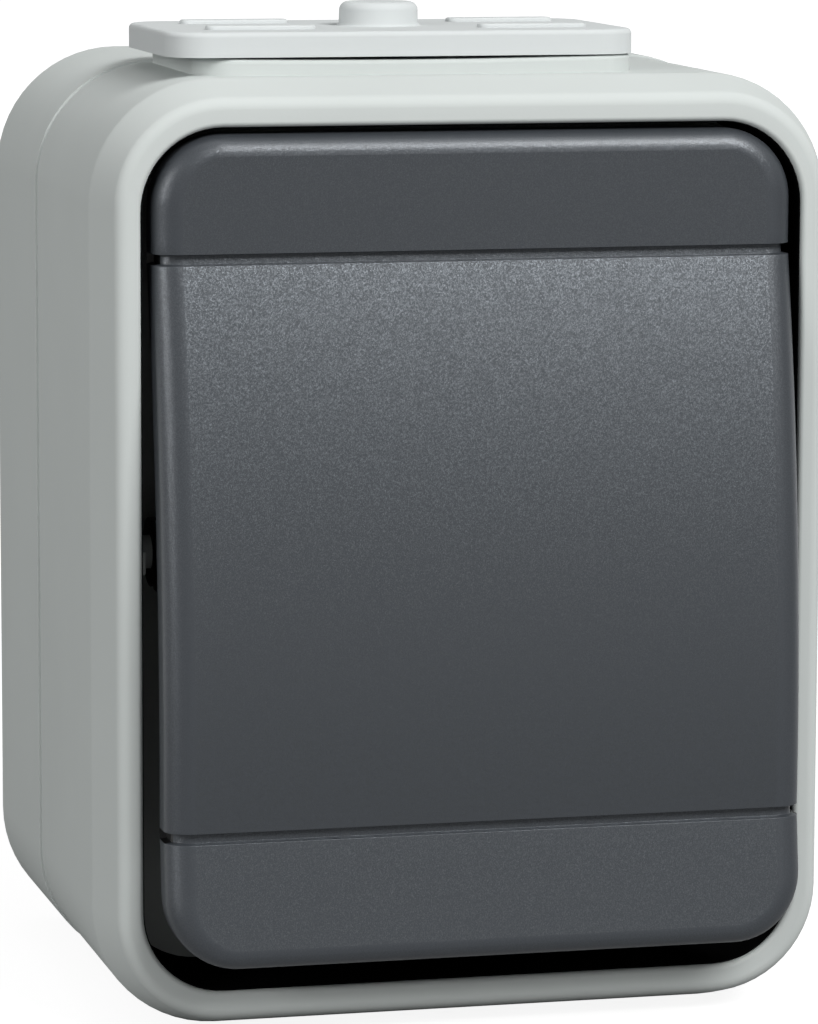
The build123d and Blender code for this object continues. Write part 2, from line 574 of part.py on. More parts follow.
def make_insert_screws():
    under_head = LID_BACK + EAR_THICKNESS
    length = EAR_THICKNESS + SCREW_GRIP
    return [screw(side * INSERT_POST_X, 0, under_head, SCREW_RADIUS, SCREW_HEAD_RADIUS, length)
            for _, side in sides()]


def make_cover_screws():
    length = FLOOR_FRONT - PARTING_DEPTH + SCREW_GRIP
    return [screw(x, z, FLOOR_FRONT, SCREW_RADIUS, SCREW_HEAD_RADIUS, length)
            for x, z in cover_screw_places()]


def make_wall_hole_seals():
    rings = []
    for z in (-WALL_HOLE_Z, WALL_HOLE_Z):
        ring = rod(WALL_SEAL_RADIUS, BACK_WALL, BACK_WALL + WALL_SEAL, 0, z)
        rings.append(ring - rod(WALL_HOLE_RADIUS, BACK_WALL, BACK_WALL + WALL_SEAL, 0, z))
    return rings


def write(node, solids):
    """One STEP file for a node, from one solid or a list of like solids."""
    shape = Compound(children=solids) if isinstance(solids, list) else solids
    export_step(shape, os.path.join("parts", node + ".step"))


def main():
    os.makedirs("parts", exist_ok=True)
    write("base_box", make_base_box())
    write("housing_gasket", make_housing_gasket())
    write("front_cover", make_front_cover())
    write("cable_entry_plate", make_cable_entry_plate())
    write("rocker", make_rocker())
    write("splash_seal", make_splash_seal())
    write("insert_lid", make_insert_lid())
    write("insert_body", make_insert_body())
    write("plunger", make_plunger())
    write("contact_bridge", make_contact_bridge())
    write("bridge_contacts", make_tips(BRIDGE_BACK))
    write("bridge_spring", make_spring(BRIDGE_FRONT, FLANGE_BACK, BRIDGE_SPRING_TURNS))
    write("return_spring", make_spring(CAVITY_BACK, FOOT_BACK, RETURN_SPRING_TURNS))
    write("fixed_contact_tips", make_tips(FIXED_TIP_FRONT))
    for name, side in sides():
        write("fixed_contact_" + name, make_fixed_contact(side))
        write("terminal_clamp_" + name, make_terminal_clamp(side))
    write("terminal_screws", make_terminal_screws())
    write("insert_screws", make_insert_screws())
    write("cover_screws", make_cover_screws())
    write("wall_hole_seals", make_wall_hole_seals())


main()
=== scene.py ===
# %% [markdown]
# # A splash-proof light pushbutton
# A surface-mounted pushbutton for damp rooms: a light grey housing in two halves, a soft cable entry
# plate on top of it and a large dark rocker whose lower end juts out at rest. The imported solids are the
# fixed frame. This lesson sets up a plain studio, gives every surface its finish, and models again as smooth
# meshes the four pieces that the eye meets. It adds a black lining in the window that paints in the shade of
# its gap, and the return spring.

# %% Load the frame
from math import atan2, cos, pi, radians, sin, tan

import bmesh
import bpy
from mathutils import Matrix, Vector


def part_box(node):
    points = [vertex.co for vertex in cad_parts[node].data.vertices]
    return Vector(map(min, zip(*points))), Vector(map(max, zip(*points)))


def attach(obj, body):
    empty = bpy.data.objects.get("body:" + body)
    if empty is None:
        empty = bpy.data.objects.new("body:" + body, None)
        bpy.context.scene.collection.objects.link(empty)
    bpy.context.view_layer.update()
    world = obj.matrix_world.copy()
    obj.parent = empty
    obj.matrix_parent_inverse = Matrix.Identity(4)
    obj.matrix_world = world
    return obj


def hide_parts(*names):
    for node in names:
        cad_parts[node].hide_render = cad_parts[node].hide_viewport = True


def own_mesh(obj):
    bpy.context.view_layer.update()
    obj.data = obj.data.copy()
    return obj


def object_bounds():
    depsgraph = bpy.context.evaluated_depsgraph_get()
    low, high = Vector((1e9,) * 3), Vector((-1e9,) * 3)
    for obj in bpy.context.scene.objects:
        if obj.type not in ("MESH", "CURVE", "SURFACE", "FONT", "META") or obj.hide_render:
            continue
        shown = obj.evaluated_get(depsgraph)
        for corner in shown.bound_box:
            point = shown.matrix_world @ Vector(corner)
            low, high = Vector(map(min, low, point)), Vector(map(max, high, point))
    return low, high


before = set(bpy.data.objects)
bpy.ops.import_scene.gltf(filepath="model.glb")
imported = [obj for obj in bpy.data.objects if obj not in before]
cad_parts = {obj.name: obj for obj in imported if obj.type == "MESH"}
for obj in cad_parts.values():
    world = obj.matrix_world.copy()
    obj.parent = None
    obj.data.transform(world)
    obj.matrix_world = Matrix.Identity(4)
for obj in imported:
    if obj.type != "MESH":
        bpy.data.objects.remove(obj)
MM = 0.001
cad_low, cad_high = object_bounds()
print("CAD box in mm:", [round(side / MM, 2) for side in cad_high - cad_low])

# %% [markdown]
# ## The camera
# The photograph looks at the front from a little to the left and a little above. A long lens close to
# what a product photographer would use keeps the edges nearly parallel. The lens is given in pixels of
# the picture, because that is how it was measured, and is turned to millimetres for a 36 mm high sensor.

# %% Camera
IMAGE_HEIGHT = 1024
LENS_PIXELS = 4964
SENSOR_HEIGHT = 36.0
CAMERA_YAW = radians(13.95)
CAMERA_PITCH = radians(8.25)
CAMERA_ROLL = radians(0.19)
CAMERA_DISTANCE = 450 * MM
CAMERA_TARGET = Vector((0.43, -25.0, 0.27)) * MM

turn = Matrix.Rotation(-CAMERA_YAW, 4, "Z") @ Matrix.Rotation(-CAMERA_PITCH, 4, "X")
back = turn @ Vector((0, -1, 0))
lens = bpy.data.cameras.new("camera")
lens.sensor_fit = "VERTICAL"
lens.sensor_height = SENSOR_HEIGHT
lens.lens = LENS_PIXELS * SENSOR_HEIGHT / IMAGE_HEIGHT
camera = bpy.data.objects.new("camera", lens)
bpy.context.scene.collection.objects.link(camera)
facing_back = back.to_track_quat("Z", "Y").to_matrix().to_4x4()
camera.matrix_world = (Matrix.Translation(CAMERA_TARGET + CAMERA_DISTANCE * back) @ facing_back
                       @ Matrix.Rotation(CAMERA_ROLL, 4, "Z"))
bpy.context.scene.camera = camera
print("Lens in mm:", round(lens.lens, 1))

# %% [markdown]
# ## Colours and nodes
# Colours are written as a designer would note them, as sRGB hex values, and Blender wants linear light.
# One function converts them. A second one adds a shader node with its settings and links in one line,
# so that each material below reads as a short list of what it is made of. Settings that start with a
# capital letter, or are numbers, are sockets. The others are the node's own options.

# %% Helpers for materials


def linear(hex_colour):
    """sRGB hex value as linear red, green, blue and alpha."""
    channels = [int(hex_colour[i:i + 2], 16) / 255 for i in (1, 3, 5)]
    return [c / 12.92 if c <= 0.04045 else ((c + 0.055) / 1.055) ** 2.4 for c in channels] + [1.0]


def add(tree, kind, settings=None, links=None):
    """Adds a node, sets its options and sockets, and links outputs of other nodes into it."""
    node = tree.nodes.new(kind)
    for key, value in (settings or {}).items():
        if isinstance(key, int) or key[0].isupper():
            node.inputs[key].default_value = value
        else:
            setattr(node, key, value)
    for socket, output in (links or {}).items():
        tree.links.new(output, node.inputs[socket])
    return node


def empty_material(name):
    """New material with nothing in its node tree."""
    material = bpy.data.materials.new(name)
    material.use_nodes = True
    material.node_tree.nodes.clear()
    return material


bpy.context.scene.view_settings.view_transform = "Standard"
print("View transform:", bpy.context.scene.view_settings.view_transform)

# %% [markdown]
# ## Studio
# The picture is a catalogue shot. Its key light stands to the right and above: the rocker, which juts out
# at the bottom, shades the rim to its left and below it. A weak lamp overhead brightens the tapered edge at
# the top, and another one opens the left side. The world adds a soft fill. The camera sees it white. So do
# reflections of what lies behind the object, while the room behind the photographer is dim. The floor is
# grey paper that glows white in the same way. Close to the object it still takes a shadow.

# %% World and lamps
FILL = 0.26
LAMP_DISTANCE = 1.3
BEHIND_START = -0.1
BEHIND_END = 0.2


def seen_rays(tree, place):
    """One for the camera, and for rays reflected or through glass that end behind the object."""
    path = add(tree, "ShaderNodeLightPath")
    depth = add(tree, "ShaderNodeSeparateXYZ", {}, {0: place}).outputs["Y"]
    behind = add(tree, "ShaderNodeMapRange", {"From Min": BEHIND_START, "From Max": BEHIND_END},
                 {"Value": depth})
    bounced = add(tree, "ShaderNodeMath", {"operation": "MAXIMUM"},
                  {0: path.outputs["Is Glossy Ray"], 1: path.outputs["Is Transmission Ray"]})
    bounced = add(tree, "ShaderNodeMath", {"operation": "MULTIPLY"},
                  {0: bounced.outputs[0], 1: behind.outputs[0]})
    return add(tree, "ShaderNodeMath", {"operation": "MAXIMUM"},
               {0: bounced.outputs[0], 1: path.outputs["Is Camera Ray"]}).outputs[0]


def soft_box(name, azimuth, elevation, size, power):
    """Square lamp that looks at the object, its azimuth counted from the front to the right."""
    turn = Matrix.Rotation(radians(azimuth), 4, "Z") @ Matrix.Rotation(-radians(elevation), 4, "X")
    place = turn @ Vector((0, -LAMP_DISTANCE, 0))
    lamp = bpy.data.lights.new(name, "AREA")
    lamp.shape = "SQUARE"
    lamp.size = size
    lamp.energy = power
    box = bpy.data.objects.new(name, lamp)
    box.location = place
    box.rotation_euler = place.to_track_quat("Z", "Y").to_euler()
    bpy.context.scene.collection.objects.link(box)
    print(name, "at", [round(value, 2) for value in place], "with", power, "W")


world = bpy.data.worlds.new("studio")
world.use_nodes = True
bpy.context.scene.world = world
sky = world.node_tree
sky.nodes.clear()
fill = add(sky, "ShaderNodeBackground", {"Color": (1, 1, 1, 1), "Strength": FILL})
white = add(sky, "ShaderNodeBackground", {"Color": (1, 1, 1, 1), "Strength": 1.0})
towards = add(sky, "ShaderNodeTexCoord").outputs["Generated"]
mix = add(sky, "ShaderNodeMixShader", {},
          {0: seen_rays(sky, towards), 1: fill.outputs[0], 2: white.outputs[0]})
add(sky, "ShaderNodeOutputWorld", {}, {"Surface": mix.outputs[0]})
soft_box("key_light", 28, 40, 0.55, 14.8)
soft_box("top_light", 0, 82, 0.6, 1.2)
soft_box("left_fill", -60, 18, 0.5, 5.3)

# %% Floor
FLOOR_SIZE = 6.0
FLOOR_NEAR = 0.1
FLOOR_FAR = 0.4
GLOW_NEAR = 0.9
paper = empty_material("grey_backdrop_paper")
tree = paper.node_tree
spot = add(tree, "ShaderNodeTexCoord").outputs["Object"]
away = add(tree, "ShaderNodeVectorMath", {"operation": "LENGTH"}, {0: spot})
glow = add(tree, "ShaderNodeMapRange",
           {"From Min": FLOOR_NEAR, "From Max": FLOOR_FAR, "To Min": GLOW_NEAR},
           {"Value": away.outputs["Value"]})
glow = add(tree, "ShaderNodeMath", {"operation": "MULTIPLY"}, {0: glow.outputs[0], 1: seen_rays(tree, spot)})
matt = add(tree, "ShaderNodeBsdfDiffuse", {"Color": linear("#898989")})
shine = add(tree, "ShaderNodeEmission", {"Color": (1, 1, 1, 1)}, {"Strength": glow.outputs[0]})
both = add(tree, "ShaderNodeAddShader", {}, {0: matt.outputs[0], 1: shine.outputs[0]})
add(tree, "ShaderNodeOutputMaterial", {}, {"Surface": both.outputs[0]})
sheet = bmesh.new()
bmesh.ops.create_grid(sheet, x_segments=1, y_segments=1, size=FLOOR_SIZE / 2,
                      matrix=Matrix.Translation((0, 0, cad_low.z)))
floor_mesh = bpy.data.meshes.new("floor")
sheet.to_mesh(floor_mesh)
sheet.free()
floor_mesh.materials.append(paper)
floor = bpy.data.objects.new("floor", floor_mesh)
bpy.context.scene.collection.objects.link(floor)
print("Floor at height", round(cad_low.z / MM, 2), "mm")

# %% [markdown]
# ## Finishes
# Both housing halves are light grey ABS from a spark-eroded mould: an even satin skin with a very fine
# grain, a touch uneven in gloss. The grain is drawn a little coarser than it is so that it shows. The mirror
# part of the plastic is left out: at a low angle it would pick up the white room, which the photographed
# housing doesn't show.

# %% Housing plastic
CLOUD_MM = 18.0
CLOUD_SHADE = 0.035
CLOUD_GLOSS = 0.05


def moulded_skin(name, colour, roughness, grain_mm, grain_height):
    """Moulded plastic or rubber: one colour with faint clouds, and a fine grain from the mould."""
    material = empty_material(name)
    tree = material.node_tree
    place = add(tree, "ShaderNodeTexCoord").outputs["Object"]
    clouds = add(tree, "ShaderNodeTexNoise", {"Scale": 1 / (CLOUD_MM * MM), "Detail": 3.0}, {"Vector": place})
    shade = add(tree, "ShaderNodeMapRange", {"To Min": 1 - CLOUD_SHADE, "To Max": 1 + CLOUD_SHADE},
                {"Value": clouds.outputs["Fac"]})
    tint = add(tree, "ShaderNodeVectorMath", {"operation": "SCALE", 0: linear(colour)[:3]},
               {"Scale": shade.outputs[0]})
    gloss = add(tree, "ShaderNodeMapRange",
                {"To Min": roughness - CLOUD_GLOSS, "To Max": roughness + CLOUD_GLOSS},
                {"Value": clouds.outputs["Fac"]})
    grain = add(tree, "ShaderNodeTexNoise", {"Scale": 1 / (grain_mm * MM), "Detail": 2.0}, {"Vector": place})
    bump = add(tree, "ShaderNodeBump", {"Strength": 1.0, "Distance": grain_height * MM},
               {"Height": grain.outputs["Fac"]})
    skin = add(tree, "ShaderNodeBsdfPrincipled", {"Specular IOR Level": 0.0},
               {"Base Color": tint.outputs[0], "Roughness": gloss.outputs[0], "Normal": bump.outputs[0]})
    add(tree, "ShaderNodeOutputMaterial", {}, {"Surface": skin.outputs[0]})
    return material


# Fine satin with soft, wide shading along its rounded edges
housing_abs = moulded_skin("light_grey_ABS_spark_eroded", "#C8CDCB", 0.58, 0.22, 0.003)
# Softer, slightly lighter and more matt than the housing
entry_tpe = moulded_skin("light_grey_TPE_soft_moulded", "#CDD1D1", 0.6, 0.3, 0.004)
# Black rubber of the seals; the same black also lines the window's gap as painted shade
seal_rubber_and_painted_shade = moulded_skin("black_EPDM_rubber_and_painted_shade", "#0C0C0D", 0.75, 0.3, 0.002)
# Technical plastic of the switch insert, pale and dull
insert_pa = moulded_skin("grey_polyamide_moulded", "#A2A29E", 0.6, 0.25, 0.005)
print("Moulded skins:", housing_abs.name, entry_tpe.name, seal_rubber_and_painted_shade.name, insert_pa.name)

# %% [markdown]
# The rocker is dark grey plastic with aluminium flakes in it. Each flake is a tiny mirror that lies at
# its own angle, so the face glitters where the light comes back to the eye and is dull elsewhere. A
# Voronoi texture gives every flake its own cell with a random colour: that colour tips the flake's
# normal, and decides whether a flake lies at the surface at all. The real flakes are about 0.05 mm, and
# are drawn at 0.07 mm so that they show. Two attributes of the mesh tell its areas apart: grain is full on
# the flat face and low on the smooth rounded edges. The other one is full on the outside; where it is
# nought, on the skirt, the back and the deep groove ends, the faces are drawn near black as painted shade.

# %% Rocker plastic
FLAKE_MM = 0.07
FLAKE_TILT = 0.15
GRIT_MM = 0.2
GRIT_HEIGHT = 0.004
fleck = empty_material("dark_grey_PC_with_aluminium_flakes")
tree = fleck.node_tree
place = add(tree, "ShaderNodeTexCoord").outputs["Object"]
face = add(tree, "ShaderNodeAttribute", {"attribute_name": "grain"}).outputs["Fac"]
unshaded = add(tree, "ShaderNodeAttribute", {"attribute_name": "unshaded"}).outputs["Fac"]
cells = add(tree, "ShaderNodeTexVoronoi", {"feature": "F1", "Scale": 1 / (FLAKE_MM * MM)}, {"Vector": place})
pick = add(tree, "ShaderNodeSeparateColor", {}, {"Color": cells.outputs["Color"]})
shown = add(tree, "ShaderNodeMapRange", {"From Min": 0.1, "From Max": 0.9}, {"Value": pick.outputs[2]})
shown = add(tree, "ShaderNodeMath", {"operation": "MULTIPLY"}, {0: shown.outputs[0], 1: face})
centred = add(tree, "ShaderNodeVectorMath", {"operation": "SUBTRACT", 1: (0.5, 0.5, 0.5)},
              {0: cells.outputs["Color"]})
tilt = add(tree, "ShaderNodeVectorMath", {"operation": "SCALE", "Scale": FLAKE_TILT}, {0: centred.outputs[0]})
surface = add(tree, "ShaderNodeNewGeometry").outputs["Normal"]
tipped = add(tree, "ShaderNodeVectorMath", {"operation": "ADD"}, {0: surface, 1: tilt.outputs[0]})
tipped = add(tree, "ShaderNodeVectorMath", {"operation": "NORMALIZE"}, {0: tipped.outputs[0]})
grit = add(tree, "ShaderNodeTexNoise", {"Scale": 1 / (GRIT_MM * MM), "Detail": 2.0}, {"Vector": place})
bump = add(tree, "ShaderNodeBump", {"Distance": GRIT_HEIGHT * MM}, {"Height": grit.outputs["Fac"]})
# Faces deep in the gap, on the skirt and at the groove ends take a near black, which is painted shade; the rest
# take the rocker's own dark grey
colour = add(tree, "ShaderNodeMix", {"data_type": "RGBA", 6: linear("#08090A"), 7: linear("#404449")},
             {0: unshaded})
plastic = add(tree, "ShaderNodeBsdfPrincipled", {"Roughness": 0.4, "Specular IOR Level": 0.45},
              {"Base Color": colour.outputs[2], "Normal": bump.outputs[0]})
flake = add(tree, "ShaderNodeBsdfPrincipled",
            {"Base Color": linear("#666A6E"), "Metallic": 1.0, "Roughness": 0.4},
            {"Normal": tipped.outputs[0]})
mixed = add(tree, "ShaderNodeMixShader", {},
            {0: shown.outputs[0], 1: plastic.outputs[0], 2: flake.outputs[0]})
add(tree, "ShaderNodeOutputMaterial", {}, {"Surface": mixed.outputs[0]})
print("Flake size in mm:", FLAKE_MM)

# %% [markdown]
# The metal inside is never seen in the picture, but the part can be opened. Brass strips and silver tips
# are stamped, so they carry fine lines one way. Zinc-plated steel is duller and slightly blue.

# %% Metals
LINE_STRETCH = 0.05
LINE_HEIGHT = 0.004


def stamped_metal(name, colour, roughness, line_mm):
    """Rolled metal: fine lines along X that spread its highlights."""
    material = empty_material(name)
    tree = material.node_tree
    place = add(tree, "ShaderNodeTexCoord").outputs["Object"]
    along = add(tree, "ShaderNodeMapping", {"Scale": (LINE_STRETCH, 1.0, 1.0)}, {"Vector": place})
    lines = add(tree, "ShaderNodeTexNoise", {"Scale": 1 / (line_mm * MM), "Detail": 3.0},
                {"Vector": along.outputs[0]})
    gloss = add(tree, "ShaderNodeMapRange", {"To Min": roughness - 0.08, "To Max": roughness + 0.12},
                {"Value": lines.outputs["Fac"]})
    bump = add(tree, "ShaderNodeBump", {"Distance": LINE_HEIGHT * MM}, {"Height": lines.outputs["Fac"]})
    metal = add(tree, "ShaderNodeBsdfPrincipled", {"Base Color": linear(colour), "Metallic": 1.0},
                {"Roughness": gloss.outputs[0], "Normal": bump.outputs[0]})
    add(tree, "ShaderNodeOutputMaterial", {}, {"Surface": metal.outputs[0]})
    return material


# Warm yellow with a soft streaky shine
brass = stamped_metal("stamped_brass", "#D9B36A", 0.3, 0.2)
# Pale and nearly white, the brightest metal inside
silver = stamped_metal("silver_contact_alloy", "#E4E2DC", 0.25, 0.15)
# Cool grey with a duller shine than the contacts
steel = stamped_metal("zinc_plated_steel", "#BFC4C8", 0.35, 0.2)
print("Metals:", brass.name, silver.name, steel.name)

# %% [markdown]
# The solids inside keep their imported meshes. Each only gets the finish of what it is made of.

# %% Finish of the solids that stay
finishes = {
    seal_rubber_and_painted_shade: ["splash_seal", "housing_gasket", "wall_hole_seals"],
    insert_pa: ["insert_body", "insert_lid", "plunger"],
    brass: ["contact_bridge", "fixed_contact_left", "fixed_contact_right"],
    silver: ["bridge_contacts", "fixed_contact_tips"],
    steel: ["bridge_spring", "terminal_clamp_left", "terminal_clamp_right",
            "terminal_screws", "insert_screws", "cover_screws"],
}
for material, nodes in finishes.items():
    for node in nodes:
        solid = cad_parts[node]
        solid.data.materials.clear()
        solid.data.materials.append(material)
print("Solids with a finish:", sum(len(nodes) for nodes in finishes.values()))

# %% [markdown]
# ## Shells from loops
# Every housing wall is a stack of rounded rectangles. So the shells are made the way a potter builds up
# a wall: a loop of edges at each depth, one loop bridged to the next, and flat faces filled in between. A
# rounded rectangle is a one-face grid whose corners are bevelled, and only its rim is kept. A rounded edge is
# a few loops along an arc. That keeps it even next to a filled face, where a bevel would leave streaks, so
# only small edges are bevelled. The bridge needs a direction from one loop to the next to pair their points,
# and two loops in one plane give it none, so one of them is lifted while it works. Depths count forward from
# the wall plane, in millimetres.

# %% Loop helpers
CORNER_STEPS = 14
ROUND_STEPS = 32
TOLERANCE = 0.01
FLATNESS = 0.001
SHARP_DEGREES = 35


def facing(depth, x=0.0, z=0.0):
    """Placement that looks forward at a depth, its own x along X and its own y along Z."""
    return Matrix.Translation(Vector((x, -depth, z)) * MM) @ Matrix.Rotation(pi / 2, 4, "X")


def lying(z, x, depth):
    """Placement that looks up at a height."""
    return Matrix.Translation(Vector((x, -depth, z)) * MM)


def sideways(x, depth, z):
    """Placement that looks along X."""
    return Matrix.Translation(Vector((x, -depth, z)) * MM) @ Matrix.Rotation(pi / 2, 4, "Y")


def rounded_loop(bm, width, height, corner, place):
    """Closed loop of edges in the shape of a rounded rectangle."""
    before = set(bm.faces)
    size = Matrix.Diagonal((width * MM, height * MM, 1, 1))
    corners = bmesh.ops.create_grid(bm, x_segments=1, y_segments=1, size=0.5, matrix=place @ size)["verts"]
    bmesh.ops.bevel(bm, geom=corners, offset=corner * MM, offset_type="OFFSET", segments=CORNER_STEPS,
                    profile=0.5, affect="VERTICES", material=-1)
    sheet = next(face for face in bm.faces if face not in before)
    loop = list(sheet.edges)
    bmesh.ops.delete(bm, geom=[sheet], context="FACES_ONLY")
    return loop


def ring(bm, radius, place):
    """Closed loop of edges in the shape of a circle."""
    verts = bmesh.ops.create_circle(bm, cap_ends=False, segments=ROUND_STEPS, radius=radius * MM,
                                    matrix=place)["verts"]
    return list({edge for vert in verts for edge in vert.link_edges})


def wall(bm, *loops):
    """Walls from each loop to the next, and their faces. Loops in one plane are lifted apart for a moment."""
    faces = []
    for near, far in zip(loops, loops[1:]):
        ends = {vert for edge in far for vert in edge.verts}
        both = ends | {vert for edge in near for vert in edge.verts}
        spread = [max(vert.co[i] for vert in both) - min(vert.co[i] for vert in both) for i in range(3)]
        axis = spread.index(min(spread))
        lift = MM if spread[axis] < FLATNESS * MM else 0.0
        for vert in ends:
            vert.co[axis] += lift
        faces += bmesh.ops.bridge_loops(bm, edges=near + far)["faces"]
        for vert in ends:
            vert.co[axis] -= lift
    return faces


def round_over(loop_at, radius, steps):
    """Loops of a rounded edge, from the side to the flat face. loop_at makes one from its inset and drop."""
    turns = [pi / 2 * i / steps for i in range(steps + 1)]
    return [loop_at(radius * (1 - cos(turn)), radius * (1 - sin(turn))) for turn in turns]


def plug(bm, *loops):
    """Flat face inside the first loop, with the other loops as holes in it."""
    bmesh.ops.triangle_fill(bm, use_beauty=True, edges=[edge for loop in loops for edge in loop])


def soften(bm, edges, radius, steps):
    """Rounds edges."""
    bmesh.ops.bevel(bm, geom=edges, offset=radius * MM, offset_type="OFFSET", segments=steps,
                    profile=0.5, affect="EDGES", clamp_overlap=True, material=-1)


def all_of(bm):
    """Everything in a bmesh, as its operators want it."""
    return bm.verts[:] + bm.edges[:] + bm.faces[:]


def finish_piece(bm, name, body, node, material):
    """Makes the mesh an object that rides on a body and stands for a node, if one is given."""
    bmesh.ops.recalc_face_normals(bm, faces=bm.faces)
    mesh = bpy.data.meshes.new(name)
    bm.to_mesh(mesh)
    bm.free()
    mesh.shade_smooth()
    mesh.set_sharp_from_angle(angle=radians(SHARP_DEGREES))
    mesh.materials.append(material)
    piece = bpy.data.objects.new(name, mesh)
    bpy.context.scene.collection.objects.link(piece)
    weigh = piece.modifiers.new("even_shading", "WEIGHTED_NORMAL")
    weigh.keep_sharp = True
    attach(piece, body)
    if node:
        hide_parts(node)
    print(name, "has", len(mesh.polygons), "faces")
    return piece


print("Steps in a corner and in a circle:", CORNER_STEPS, ROUND_STEPS)

# %% [markdown]
# ## Housing sizes
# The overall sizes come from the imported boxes. The rest are the few sizes that the shells share, in
# millimetres: how far each section is set in from the base outline, and where the floors lie.

# %% Housing sizes
base_low, base_high = (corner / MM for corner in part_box("base_box"))
cover_low, cover_high = (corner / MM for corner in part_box("front_cover"))
plate_low, plate_high = (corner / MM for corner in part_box("cable_entry_plate"))
rocker_low, rocker_high = (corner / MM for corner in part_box("rocker"))
WIDTH = base_high.x - base_low.x
WALL_TOP = -base_low.z
PARTING_DEPTH = -cover_high.y
RIM_DEPTH = -cover_low.y
POST_DEPTH = -base_low.y
EDGE_SETBACK = 5.3
EDGE_DEPTH = RIM_DEPTH - EDGE_SETBACK
FLOOR_FRONT = 37.4
FLOOR_BACK = 35.9
BASE_CORNER = 11.1
PARTING_INSET = 0.15
COVER_INSET = 0.35
EDGE_INSET = 0.45
RIM_INSET = 2.0
WALL = 2.4
JOINT_ROUND = 0.08
JOINT_STEPS = 2
# Widths, heights and corner radii
WINDOW = (WIDTH - 8.0, 2 * WALL_TOP - 8.6, 7.1)
OPENING = (32.0, 42.0, 5.0)
POST_RADIUS = 3.5
SEAT_DROP = 0.1
SEAT_TOP = base_high.z - SEAT_DROP
PLATE_X = (plate_low.x + plate_high.x) / 2
PLATE_WIDTH = plate_high.x - plate_low.x
PLATE_BACK = -plate_high.y
PLATE_FRONT = -plate_low.y
PLATE_CORNER = 3.6
NECK = (26.0, 13.0, 3.0)
NECK_DEPTH = 28.5
NECK_PLAY = 0.1
COVER_SCREWS = ((-21.7, 29.75), (21.7, -29.75))
INSERT_POSTS = ((-24.5, 0.0), (24.5, 0.0))


def outline(bm, inset, depth):
    """Housing section at a depth, set in from the base outline."""
    return rounded_loop(bm, WIDTH - 2 * inset, 2 * (WALL_TOP - inset), BASE_CORNER - inset, facing(depth))


print("Housing", round(WIDTH, 2), "x", round(2 * WALL_TOP, 2), "rim at", round(RIM_DEPTH, 2))

# %% [markdown]
# ## The seat of the entry plate
# A low platform on top of the housing carries the entry plate. The parting line runs through it: a short
# back end belongs to the base, the rest to the cover. It is made once as a closed ring round the neck's
# hole, sunk into the wall below. On the left it ends a little short of the plate. Its top sags in the middle,
# so a few cuts across it are lowered, and a last cut keeps one side of the parting plane.

# %% Seat
SEAT_BACK = 19.2
SEAT_SUNK = 39.9
SEAT_ROUND = 0.4
SEAT_SAG = 0.28
SEAT_SHORT = 2.4
SEAT_MARGIN = 0.15
SEAT_STEPS = 4
SAG_CUTS = 16


def seat(front):
    """New bmesh with the seat's part in front of the parting plane, or behind it."""
    bm = bmesh.new()
    across = PLATE_WIDTH - SEAT_SHORT - SEAT_MARGIN
    centre = PLATE_X + (SEAT_SHORT - SEAT_MARGIN) / 2
    length = PLATE_FRONT - SEAT_BACK
    middle = (PLATE_FRONT + SEAT_BACK) / 2
    width, depth, corner = (size + 2 * NECK_PLAY for size in NECK)

    def section(inset, drop):
        """Outline of the seat, set in by an inset, below its top."""
        return rounded_loop(bm, across - 2 * inset, length - 2 * inset, PLATE_CORNER - inset,
                            lying(SEAT_TOP - drop, centre, middle))

    low = section(0, SEAT_TOP - SEAT_SUNK)
    rim = round_over(section, SEAT_ROUND, SEAT_STEPS)
    hole_low, hole_top = (rounded_loop(bm, width, depth, corner, lying(z, PLATE_X, NECK_DEPTH))
                          for z in (SEAT_SUNK, SEAT_TOP))
    wall(bm, low, *rim)
    wall(bm, hole_low, hole_top)
    plug(bm, low, hole_low)
    plug(bm, rim[-1], hole_top)
    for i in range(1, SAG_CUTS):
        x = PLATE_X + PLATE_WIDTH * (i / SAG_CUTS - 0.5)
        bmesh.ops.bisect_plane(bm, geom=all_of(bm), plane_co=(x * MM, 0, 0), plane_no=(1, 0, 0))
    for vert in bm.verts:
        if vert.co.z > (SEAT_TOP - SEAT_ROUND - TOLERANCE) * MM:
            share = (vert.co.x / MM - PLATE_X) / (PLATE_WIDTH / 2)
            vert.co.z -= SEAT_SAG * MM * max(0.0, 1 - share ** 2)
    cut = bmesh.ops.bisect_plane(bm, geom=all_of(bm), plane_co=(0, -PARTING_DEPTH * MM, 0),
                                 plane_no=(0, 1, 0), clear_outer=front, clear_inner=not front)
    plug(bm, [edge for edge in cut["geom_cut"] if isinstance(edge, bmesh.types.BMEdge)])
    return bm


print("Seat top at", round(SEAT_TOP, 2), "mm")

# %% [markdown]
# ## The base
# The rear half is a tray: a flat back with two wall holes, walls that lean in a hair, a step for the
# gasket along its front edge and four screw posts. Its front edge stands a little proud of the cover,
# which gives the thin bright line along the joint.

# %% Base
GASKET_LIP = 1.2
GASKET_HEIGHT = 1.0
PILOT_RADIUS = 1.55
PILOT_DEPTH = 10.0
WALL_HOLE_RADIUS = 2.3
BACK_ROUND = 0.5
BACK_STEPS = 4
WALL_HOLE_DROP = 12.35
WALL_HOLE_Z = WALL_TOP - WALL_HOLE_DROP


def post(bm, x, z, foot, end):
    """Screw post with a blind hole, open at its foot, and the loop of its foot."""
    foot_loop = ring(bm, POST_RADIUS, facing(foot, x, z))
    end_loop = ring(bm, POST_RADIUS, facing(end, x, z))
    mouth = ring(bm, PILOT_RADIUS, facing(end, x, z))
    ground = ring(bm, PILOT_RADIUS, facing(end - PILOT_DEPTH, x, z))
    wall(bm, foot_loop, end_loop, mouth, ground)
    plug(bm, ground)
    return foot_loop


